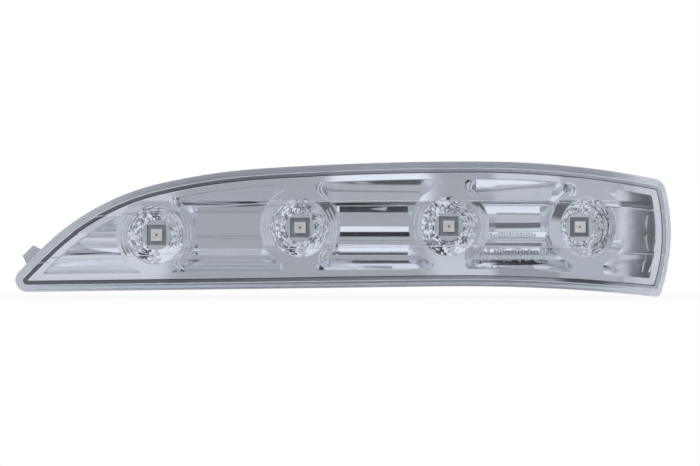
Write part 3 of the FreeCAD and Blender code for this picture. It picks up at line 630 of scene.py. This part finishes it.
def uneven_aim(recipe, unevenness, seed):
    """The turn of each tile: towards the axis, and a little off at random."""
    facing = recipe.attribute("facing", "FLOAT_VECTOR")
    about = recipe.add("ShaderNodeVectorMath", {0: facing, 1: (0.0, 1.0, 0.0)},
                       operation="CROSS_PRODUCT").outputs["Vector"]
    aim = recipe.add("FunctionNodeAxesToRotation", {"Primary Axis": facing, "Secondary Axis": about},
                     primary_axis="Z", secondary_axis="X")
    reach = recipe.times(unevenness, recipe.attribute("swell"))
    back = recipe.times(reach, -1.0)
    least = recipe.vector(X=back, Y=back, Z=back)
    most = recipe.vector(X=reach, Y=reach, Z=reach)
    wobble = recipe.add("FunctionNodeRandomValue", {
        "Min": least, "Max": most, "Seed": seed}, data_type="FLOAT_VECTOR")
    wobble_turn = recipe.add("FunctionNodeEulerToRotation", {"Euler": wobble.outputs["Value"]})
    uneven = recipe.add("FunctionNodeRotateRotation", {
        "Rotation": aim.outputs["Rotation"], "Rotate By": wobble_turn.outputs["Rotation"]},
        rotation_space="LOCAL")
    return uneven.outputs["Rotation"]


print("a tile has", (TILE_POINTS - 1) ** 2, "faces")

# %% [markdown]
# ## The whole recipe
# The steps are joined to one tree. Each tile is as wide as its share of the ring and as long as
# the slope of the wall, and the finished bowl is moved and turned to its place at the end.


# %% The recipe for pillow facets
def pillow_recipe():
    recipe = Recipe("pillow_facets")
    copies = recipe.size("Copies", "Int")
    lowest, highest = recipe.size("Lowest"), recipe.size("Highest")
    dome, unevenness, calm = recipe.size("Dome"), recipe.size("Unevenness"), recipe.size("Calm")
    seed = recipe.size("Seed", "Int")
    place, turn = recipe.size("Place", "Vector"), recipe.size("Turn")
    material = recipe.size("Material", "Material")

    step = recipe.math("DIVIDE", math.tau, copies)
    points = with_swell(recipe, copies_round_axis(recipe, copies, step), lowest, highest, calm)
    spread = recipe.vector(X=recipe.times(recipe.attribute("radius"), step),
                           Y=recipe.attribute("length"), Z=recipe.attribute("swell"))
    tiles = recipe.add("GeometryNodeInstanceOnPoints", {
        "Points": points, "Instance": domed_tile(recipe, dome),
        "Rotation": uneven_aim(recipe, unevenness, seed), "Scale": spread})
    seated = recipe.add("GeometryNodeTransform", {
        "Geometry": tiles.outputs["Instances"], "Translation": place, "Rotation": recipe.vector(Z=turn)})
    recipe.finish(seated.outputs["Geometry"], material)
    return recipe


pillows = pillow_recipe()
print("recipe of", len(pillows.tree.nodes), "nodes")

# %% [markdown]
# ## The rings of pillows in each bowl
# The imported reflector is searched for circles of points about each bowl's axis. The wall's back
# has circles too: a circle belongs to the front when all narrower circles lie deeper. One seed
# point is set between each two neighbouring circles, with the direction that the wall faces
# there, the ring's radius and the length of its slope. Where the wall is steep, the pillows lean
# out of it like steps, as they do on real reflectors, because a steep mirror would only show the
# inside of its own bowl.

# %% One seed point for each ring of each bowl
BOWL_RADIUS = 9 * MM
RADIUS_MARGIN = 1.001
RING_POINTS = 12
PILLOW_COPIES = 32
PILLOW_DOME = 0.05 * MM
PILLOW_UNEVENNESS = 0.21
PILLOW_CALM = 0.8
PILLOW_STEP = 0.95 * MM
PILLOW_GAP = 0.03 * MM
PILLOW_HEIGHTS = (-5.9 * MM, 8.3 * MM)
PILLOW_LEANS = {1: 29, 2: 29, 3: 29, 4: 17}


def bowl_circles(number):
    """(radius, depth) of the circles of points on one bowl's front, from its mouth inwards."""
    back = Matrix.Rotation(-unit_turns[number], 4, "Z")
    found = {}
    for vertex in reflector.data.vertices:
        point = back @ (vertex.co - unit_middles[number])
        spot = (round(math.hypot(point.x, point.z) / MM, 2), round(point.y / MM, 2))
        found[spot] = found.get(spot, 0) + 1
    circles = [(radius * MM, depth * MM) for (radius, depth), count in found.items()
               if count > RING_POINTS and radius * MM < BOWL_RADIUS * RADIUS_MARGIN]
    front = [spot for spot in circles
             if all(other[1] > spot[1] for other in circles if other[0] < spot[0])]
    kept = []
    for spot in sorted(front, key=lambda spot: spot[1]):
        if not kept or math.dist(spot, kept[-1]) >= PILLOW_STEP:
            kept.append(spot)
    return kept


def ring_seeds(number):
    points, facings, radii, lengths = [], [], [], []
    circles = bowl_circles(number)
    steepest = math.radians(PILLOW_LEANS[number])
    for (radius, depth), (next_radius, next_depth) in zip(circles, circles[1:]):
        across = radius - next_radius
        lean = min(math.atan2(next_depth - depth, across), steepest)
        facing = Vector((-math.sin(lean), -math.cos(lean), 0))
        middle_radius = (radius + next_radius) / 2
        width = math.tau * middle_radius / PILLOW_COPIES
        step_depth = depth + across * math.tan(lean) / 2
        sag = width * width / (8 * middle_radius)
        lift = facing * (sag + PILLOW_GAP)
        points.append(Vector((middle_radius, step_depth, 0)) + lift)
        facings.append(facing)
        radii.append(middle_radius)
        lengths.append(across / math.cos(lean))
    mesh = new_mesh(f"ring_seeds_{number}", points)
    mesh.attributes.new("facing", "FLOAT_VECTOR", "POINT").data.foreach_set(
        "vector", [part for facing in facings for part in facing])
    halves = [0.5 * (ring % 2) for ring in range(len(points))]
    for name, values in (("radius", radii), ("length", lengths), ("half_step", halves)):
        mesh.attributes.new(name, "FLOAT", "POINT").data.foreach_set("value", values)
    return mesh


for number, middle in unit_middles.items():
    facets = pillows.make(
        f"facets_{number}", ring_seeds(number), Copies=PILLOW_COPIES, Dome=PILLOW_DOME,
        Unevenness=PILLOW_UNEVENNESS, Calm=PILLOW_CALM, Lowest=PILLOW_HEIGHTS[0] - middle.z,
        Highest=PILLOW_HEIGHTS[1] - middle.z, Seed=number, Place=middle, Turn=unit_turns[number],
        Material=sharp_chrome.material)
    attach(facets, "root")
    print(facets.name, len(facets.data.vertices), "points in", len(bowl_circles(number)) - 1, "rings")

# %% [markdown]
# ## Light lines along the creases
# The face of the lens is folded along two creases, and each rounded fold catches a thin line of
# light over its whole length. Here that line is a painted highlight: a thin pale bead along each
# crease. Each crease is given by a few places as seen from the front, and many steps between
# them are dropped straight back on the outer face. A Geometry Nodes tree turns the path into a
# curve and sweeps a tiny circle along it. Each bead is sunk into the lens by its own radius, so
# that it stays inside the outline of the lamp.

# %% A pale bead along each crease, as a painted highlight
CREASES = {
    "upper": [(-92, 2.1), (-84, 3.6), (-60, 5.8), (-32, 7.4), (-12, 8.0), (32, 8.2), (70, 7.1), (90, 4.4)],
    "lower": [(-104, -11.4), (-74, -8.9), (-32, -6.7), (14, -6.0), (57, -6.0), (87, -8.6), (90, -9.1)],
}
CREASE_STEPS = 70
SMOOTH_STEPS = 4
BEAD_RADIUS = 0.1 * MM
BEAD_SIDES = 8
IN_FRONT = CAD_BOX[0].y - 10 * MM


def bead_recipe():
    recipe = Recipe("bead_along_path")
    radius, material = recipe.size("Radius"), recipe.size("Material", "Material")
    path = recipe.add("GeometryNodeMeshToCurve", {"Mesh": recipe.start.outputs["Geometry"]})
    circle = recipe.add("GeometryNodeCurvePrimitiveCircle", {"Resolution": BEAD_SIDES, "Radius": radius})
    bead = recipe.add("GeometryNodeCurveToMesh", {
        "Curve": path.outputs["Curve"], "Profile Curve": circle.outputs["Curve"], "Fill Caps": True})
    recipe.finish(bead.outputs["Mesh"], material)
    return recipe


def seen_point(tree, x, z, start=IN_FRONT):
    """The first point met when looking from the front at this place."""
    return tree.ray_cast(Vector((x, start, z)), Vector((0, 1, 0)))[0]


def height_at(places, x):
    """The height at x of the straight lines through the places, in millimetres."""
    for (x0, z0), (x1, z1) in zip(places, places[1:]):
        if x <= x1:
            return z0 + (z1 - z0) * (x - x0) / (x1 - x0)
    return places[-1][1]


def crease_path(tree, places):
    """Points on the outer face along a crease, with the corners between its places rounded."""
    first, last = places[0][0], places[-1][0]
    xs = [first + (last - first) * step / CREASE_STEPS for step in range(CREASE_STEPS + 1)]
    reach = (last - first) / CREASE_STEPS * SMOOTH_STEPS
    sides = [side / SMOOTH_STEPS for side in range(-SMOOTH_STEPS, SMOOTH_STEPS + 1)]
    points = []
    for x in xs:
        near = [height_at(places, min(max(x + reach * side, first), last)) for side in sides]
        points.append(seen_point(tree, x * MM, sum(near) / len(near) * MM))
    return [point + Vector((0, BEAD_RADIUS, 0)) for point in points if point]


def wire_mesh(name, paths):
    """Bare edges along each path."""
    points, edges = [], []
    for path in paths:
        edges += [(len(points) + step, len(points) + step + 1) for step in range(len(path) - 1)]
        points += path
    return new_mesh(name, points, edges)


# Painted highlight: the pale finish of the crease beads stands in for the line of light on each fold.
pale_bead = mottled("frosted_crease", 8 * MM, (222, 227, 235), (236, 240, 246),
                Roughness=0.5, Transmission_Weight=0.4)
beads = bead_recipe()
lens_tree = surface_tree(lens)
crease_paths = [crease_path(lens_tree, places) for places in CREASES.values()]
creases = beads.make("painted_crease_highlights", wire_mesh("crease_paths", crease_paths),
                     Radius=BEAD_RADIUS, Material=pale_bead.material)
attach(creases, "root")
print(creases.name, "has", len(creases.data.polygons), "faces")

# %% [markdown]
# ## Paths of the polished ribs
# Short polished ribs end the pockets, thin arcs run beside the bowls, and two pairs of slots stand
# upright near the wrapped end. Each is given by a few places, dropped on the reflector by looking
# from the front. Where a path runs over the edge of a pocket it keeps the depth of the plate, and
# its corners are cut twice, which rounds them.

# %% Paths at the ends of the pockets and round the bowls
RIBS = [
    [(-61.8, 8.9), (-62.4, 7.2), (-61.4, 5.6), (-60.0, 4.9)],
    [(-60.0, -7.8), (-61.5, -9.6), (-61.2, -11.4), (-59.4, -12.8)],
    [(-16.0, 13.4), (-17.4, 12.0), (-17.0, 10.2), (-15.2, 8.9)],
    [(-15.6, -6.9), (-17.0, -8.4), (-16.8, -10.6), (-15.0, -12.3)],
    [(29.6, 13.6), (28.6, 12.2), (29.2, 10.6), (31.0, 9.4)],
    [(59.2, 13.3), (60.9, 12.4), (61.2, 10.8), (60.2, 9.2)],
]
SLOTS = [
    [(84.9, 3.6), (84.3, 0.0), (84.4, -4.0), (85.2, -7.2)],
    [(87.2, 3.6), (87.4, 0.0), (87.2, -4.0), (86.4, -7.4)],
    [(84.2, -9.2), (83.6, -11.5), (83.0, -13.8)],
    [(86.4, -9.2), (85.8, -11.8), (84.8, -13.9)],
]
ARC_RADII = (9.9, 11.0)
ARC_ANGLES = (-34, -17, 0, 17, 34)
RIB_RADIUS = 0.42 * MM
ARC_WIDTH = 0.3 * MM
RIB_PITCH = 1.0 * MM
SLOT_RADIUS = 0.32 * MM
RIB_DROP = 1.2 * MM
CORNER_CUTS = 2
CUT_PLACES = (0.25, 0.75)


def rib_path(tree, places):
    """A rounded path over the reflector through a few places in millimetres."""
    hits = [seen_point(tree, x * MM, z * MM) for x, z in places]
    plate = min(hit.y for hit in hits)
    path = [Vector((hit.x, hit.y if hit.y < plate + RIB_DROP else plate, hit.z)) for hit in hits]
    for _ in range(CORNER_CUTS):
        cut = [start.lerp(end, share) for start, end in zip(path, path[1:]) for share in CUT_PLACES]
        path = [path[0]] + cut + [path[-1]]
    return path


def arc_places(number, radius, side):
    """Places on an arc beside a bowl, on its left or right side."""
    middle = unit_middles[number] / MM
    angles = [math.radians(degrees) for degrees in ARC_ANGLES]
    return [(middle.x + side * radius * math.cos(angle), middle.z + radius * math.sin(angle))
            for angle in angles]


reflector_tree = surface_tree(reflector)
rib_paths = [rib_path(reflector_tree, places) for places in RIBS]
rib_paths += [[point + Vector((RIB_PITCH, 0, 0)) for point in path] for path in rib_paths]
arc_paths = [rib_path(reflector_tree, arc_places(number, radius, side))
             for number in UNITS for radius in ARC_RADII for side in (-1, 1)]
slot_paths = [rib_path(reflector_tree, places) for places in SLOTS]
print(len(rib_paths), "ribs,", len(arc_paths), "arcs and", len(slot_paths), "slots")

# %% [markdown]
# ## Beads along the ribs
# The recipe that made the beads of the creases gives every path its round rod. The ribs and the
# arcs are polished like the pillows, and the slots get the same pale finish as the painted
# highlights of the creases.

# %% Ribs, arcs and slots
for name, paths, radius, finish, slot in (
        ("pocket_ribs", rib_paths, RIB_RADIUS, sharp_chrome, "metallised_plastic"),
        ("bowl_arcs", arc_paths, ARC_WIDTH, sharp_chrome, "metallised_plastic"),
        ("slot_lines", slot_paths, SLOT_RADIUS, pale_bead, "clear_lens")):
    piece = beads.make(name, wire_mesh(name, paths), Radius=radius, Material=finish.material)
    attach(piece, "root")
    print(piece.name, "has", len(piece.data.polygons), "faces")

# %% [markdown]
# ## Flutes inside the lens
# Near its lower edge the lens carries a small patch of upright flutes on its inner face, which
# blur what lies behind them. The patch starts as a row of upright edges, each found by looking
# through the lens from the front: the first surface is the outer face, the second the inner one.
# The recipe that made the beads gives every edge its round rod.

# %% Upright flutes on the inner face
FLUTE_COUNT = 26
FLUTE_RADIUS = 0.38 * MM
FLUTES_LEFT, FLUTES_RIGHT = 28.5 * MM, 52.5 * MM
FLUTES_LOW, FLUTES_HIGH = -10.6 * MM, -6.2 * MM
LOW_SPREAD, HIGH_SPREAD = 1.2, 1.6
FLUTE_SINK = 1.1
FLUTE_SEED = 7


def flute_paths():
    random = Random(FLUTE_SEED)
    inwards = Vector((0, FLUTE_RADIUS * FLUTE_SINK, 0))
    paths = []
    for flute in range(FLUTE_COUNT):
        x = FLUTES_LEFT + (FLUTES_RIGHT - FLUTES_LEFT) * flute / (FLUTE_COUNT - 1)
        low = FLUTES_LOW + random.uniform(0, LOW_SPREAD) * MM
        high = FLUTES_HIGH - random.uniform(0, HIGH_SPREAD) * MM
        outer = [(z, seen_point(lens_tree, x, z).y) for z in (low, high)]
        paths.append([seen_point(lens_tree, x, z, y + TOUCH_GAP) + inwards for z, y in outer])
    return paths


flutes = beads.make("lens_flutes", wire_mesh("flute_paths", flute_paths()),
                    Radius=FLUTE_RADIUS, Material=glass.material)
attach(flutes, "root")
print(flutes.name, "has", len(flutes.data.polygons), "faces")

# %% [markdown]
# ## The studio that the mirror sees
# The reflector shows its surroundings, so the studio is built like a product photographer's: a
# curved screen in front of the lamp, out of the camera's sight, with bright and black cards on
# it. A strip of the reflector that faces a little downwards shows the screen a little below the
# camera, so a card at one height draws a line along every pocket. The screen has six zones from
# left to right, because each pocket looks at another part of it. Each zone is a list of angles
# and shades, from -90 degrees straight below the lamp to 90 degrees straight above it.

# %% The cards of each zone
BLACK, DARK, DIM, MIDDLE, PALE, WHITE = 0.0, 0.2, 0.3, 0.45, 0.6, 1.0
CARDS = {
    "far_left": [(-90, PALE), (-50, PALE), (-42, MIDDLE), (-36, MIDDLE), (-30, 0.75), (-16, 0.75),
                 (-10, PALE), (5, PALE), (10, 0.5), (16, 0.5), (22, PALE), (45, WHITE), (90, WHITE)],
    "left": [(-90, BLACK), (-80, BLACK), (-77, WHITE), (-68, WHITE), (-63, MIDDLE), (-45, MIDDLE),
             (-42, 0.36), (-34, 0.36), (-31, MIDDLE), (32, MIDDLE), (38, PALE), (90, PALE)],
    "middle": [(-90, WHITE), (-79, WHITE), (-75, BLACK), (-38, BLACK), (-34, MIDDLE), (18, MIDDLE),
               (22, WHITE), (54, WHITE), (59, DIM), (64, BLACK), (90, BLACK)],
    "right_web": [(-90, BLACK), (-64, BLACK), (-59, WHITE), (-33, WHITE), (-27, PALE), (-3, MIDDLE),
                  (3, MIDDLE), (7, DARK), (20, DARK), (24, MIDDLE), (36, MIDDLE), (41, WHITE), (60, WHITE),
                  (64, 0.1), (90, 0.1)],
    "right": [(-90, BLACK), (-66, BLACK), (-62, WHITE), (-36, WHITE), (-33, 0.38), (-28, 0.38),
              (-24, PALE), (-3, PALE), (3, PALE), (6, 0.12), (25, 0.12), (28, 0.74), (37, 0.74),
              (40, WHITE), (48, WHITE), (52, BLACK), (90, BLACK)],
    "side": [(-90, WHITE), (-64, WHITE), (-60, BLACK), (-52, BLACK), (-48, 0.52), (-29, 0.52),
             (-25, WHITE), (-8, WHITE), (-4, 0.52), (4, 0.52), (8, WHITE), (25, WHITE),
             (29, 0.52), (48, 0.52), (52, BLACK), (60, BLACK), (64, WHITE), (90, WHITE)],
}
ZONE_STARTS = {"left": -0.25, "middle": -0.034, "right_web": 0.102, "right": 0.2, "side": 0.66}
ZONE_EDGE = 0.012
SCREEN_TINT = (0.97, 0.99, 1.04)


def zone_stops(zone):
    """The stops of a colour ramp over the angles of one zone."""
    return [((degrees + 90) / 180, (*(shade * part for part in SCREEN_TINT), 1.0))
            for degrees, shade in CARDS[zone]]


print("cards:", {zone: len(stops) for zone, stops in CARDS.items()})

# %% [markdown]
# ## The curved screen
# The screen is part of a cylinder whose axis runs through the lamp from left to right. Its
# shade is worked out from Object coordinates: the angle round the axis picks the place in a
# zone, and the distance to the left or right picks the zone.

# %% The screen's mesh and material
SCREEN_RADIUS = 1.1
SCREEN_HALF_WIDTH = 12.0
SCREEN_ROWS, SCREEN_COLUMNS = 48, 96
SCREEN_END = 89


def screen_mesh():
    width = SCREEN_COLUMNS + 1
    points = []
    for row in range(SCREEN_ROWS + 1):
        angle = math.radians(-SCREEN_END + 2 * SCREEN_END * row / SCREEN_ROWS)
        points += [(SCREEN_HALF_WIDTH * (2 * column / SCREEN_COLUMNS - 1),
                    -SCREEN_RADIUS * math.cos(angle), SCREEN_RADIUS * math.sin(angle))
                   for column in range(width)]
    faces = [(a, a + 1, a + 1 + width, a + width)
             for row in range(SCREEN_ROWS) for a in range(row * width, row * width + SCREEN_COLUMNS)]
    return new_mesh("studio_screen", points, faces=faces)


def screen_colour(finish):
    place = finish.parts(finish.place)
    angle = finish.math("ARCTAN2", place["Z"], finish.times(place["Y"], -1.0))
    share = finish.span(angle, -math.pi / 2, math.pi / 2)
    colour = finish.ramp(share, *zone_stops("far_left"))
    for zone, start in ZONE_STARTS.items():
        reached = finish.span(place["X"], start, start + ZONE_EDGE)
        colour = finish.mix(reached, colour, finish.ramp(share, *zone_stops(zone)))
    return colour


def put_in_studio(mesh, finish, colour):
    """A card that glows in this colour and that only mirrors and glass see."""
    glow = finish.add("ShaderNodeEmission", {"Color": colour})
    finish.join(glow.outputs["Emission"], finish.output)
    mesh.materials.append(finish.material)
    card = new_object(mesh.name, mesh)
    card.visible_camera = False
    card.visible_diffuse = False
    card.visible_shadow = False
    print(card.name, "has", len(mesh.polygons), "faces")


screen = Finish("studio_screen")
put_in_studio(screen_mesh(), screen, screen_colour(screen))

# %% [markdown]
# ## A wing at the side
# The wrapped end of the lamp looks to the right and past the back edge of the screen. An upright
# wing to the right of the lamp gives it something calm and pale to show.

# %% The wing of the studio
WING_X = 2.6
WING_FRONT, WING_BACK = -SCREEN_RADIUS, 4.0
WING_LOW, WING_HIGH = -1.5, 1.5
WING_BLOTCH = 0.8
DULL_WHITE, PALE_WHITE = (0.74, 0.75, 0.78, 1), (0.84, 0.85, 0.88, 1)

wing_corners = [(WING_X, y, z) for y, z in (
    (WING_FRONT, WING_LOW), (WING_BACK, WING_LOW), (WING_BACK, WING_HIGH), (WING_FRONT, WING_HIGH))]
wing_mesh = new_mesh("studio_wing", wing_corners, faces=[(0, 3, 2, 1)])
wing = Finish("studio_wing")
wing_colour = wing.ramp(wing.noise(WING_BLOTCH), (0.35, DULL_WHITE), (0.65, PALE_WHITE))
put_in_studio(wing_mesh, wing, wing_colour)

# %% [markdown]
# ## World and floor
# The background of the picture is plain white. The world is white to the camera, to mirrors
# and to glass. The floor is white to the camera and mixes that with a plain diffuse white, so
# that it still keeps the lamp's shadow; mirrors and glass don't see the floor. The world lights
# the rest softly.

# %% World and floor
SOFT_LIGHT = 0.6
FLOOR_HALF = 6.0
FLOOR_DROP = 0.2 * MM
FLOOR_FADE = (0.12, 0.3)
FLOOR_GLOW_NEAR = 0.88


def seen_directly(wiring):
    """One for camera, glossy and transmission rays, else zero."""
    path = wiring.add("ShaderNodeLightPath")
    total = path.outputs["Is Camera Ray"]
    for kind in ("Is Glossy Ray", "Is Transmission Ray"):
        total = wiring.math("MAXIMUM", total, path.outputs[kind])
    return total


def white_world():
    world = bpy.data.worlds.new("white_studio")
    world.use_nodes = True
    wiring = Wiring(world.node_tree)
    background = wiring.tree.nodes["Background"]
    background.inputs["Color"].default_value = grey(1)
    strength = wiring.span(seen_directly(wiring), 0.0, 1.0, low=SOFT_LIGHT)
    wiring.join(strength, background.inputs["Strength"])
    return world


def floor_material():
    finish = Finish("pale_floor", Base_Color=linear(246, 246, 246), Roughness=0.9)
    glow = finish.add("ShaderNodeEmission")
    away = finish.add("ShaderNodeVectorMath", {0: finish.place}, operation="LENGTH").outputs["Value"]
    share = finish.span(away, *FLOOR_FADE, low=FLOOR_GLOW_NEAR)
    mix = finish.add("ShaderNodeMixShader", {
        0: finish.times(seen_directly(finish), share),
        1: finish.shader.outputs["BSDF"], 2: glow.outputs["Emission"]})
    finish.join(mix.outputs["Shader"], finish.output)
    return finish.material


floor_z = CAD_BOX[0].z - FLOOR_DROP
floor_corners = [(x * FLOOR_HALF, y * FLOOR_HALF, floor_z)
                 for x, y in ((-1, -1), (1, -1), (1, 1), (-1, 1))]
floor_mesh = new_mesh("floor", floor_corners, faces=[(0, 1, 2, 3)])
floor_mesh.materials.append(floor_material())
floor = new_object("floor", floor_mesh)
floor.visible_glossy = False
floor.visible_transmission = False
bpy.context.scene.world = white_world()
print("floor at", round(floor_z / MM, 1), "mm")

# %% [markdown]
# ## Studio lamps
# A large key lamp at the upper left, a weaker fill lamp and a small lamp for the wrapped end
# give soft light. Mirrors and glass don't see them, or they would show as hard white squares.

# %% Soft lamps
BOX_MIDDLE = (CAD_BOX[0] + CAD_BOX[1]) / 2
BOX_RIGHT = Vector((CAD_BOX[1].x, CAD_BOX[0].y, 0))


def area_lamp(name, place, power, size=0.6, target=BOX_MIDDLE):
    light = bpy.data.lights.new(name, "AREA")
    light.size = size
    light.energy = power
    holder = new_object(name, light)
    holder.location = place
    holder.rotation_euler = (target - place).to_track_quat("-Z", "Y").to_euler()
    holder.visible_glossy = False
    holder.visible_transmission = False
    print(name, "of", power, "W")


area_lamp("key_lamp", Vector((-0.35, -1.3, 0.35)), power=12)
area_lamp("fill_lamp", Vector((0.5, -1.2, 0.1)), power=7)
area_lamp("side_lamp", Vector((1.2, -0.5, 0.15)), power=9, size=0.4, target=BOX_RIGHT)

# %% [markdown]
# ## Camera
# The lamp is seen straight on through a long lens, from far enough that its wrapped end shows
# no perspective. The aim and the width of the view are real distances on the lamp.

# %% Camera
VIEW_AIM = Vector((-7.38, -28, -1.85)) * MM
VIEW_WIDTH = 215.4 * MM
VIEW_DISTANCE = 2.2
NEAREST, FARTHEST = 0.05, 20
camera_data = bpy.data.cameras.new("camera")
camera_data.lens = camera_data.sensor_width * VIEW_DISTANCE / VIEW_WIDTH
camera_data.clip_start = NEAREST
camera_data.clip_end = FARTHEST
camera = new_object("camera", camera_data)
camera.location = VIEW_AIM - Vector((0, VIEW_DISTANCE, 0))
camera.rotation_euler = (math.radians(90), 0, 0)
bpy.context.scene.camera = camera
bpy.context.scene.view_settings.view_transform = "Standard"
print("lens of", round(camera_data.lens), "mm")
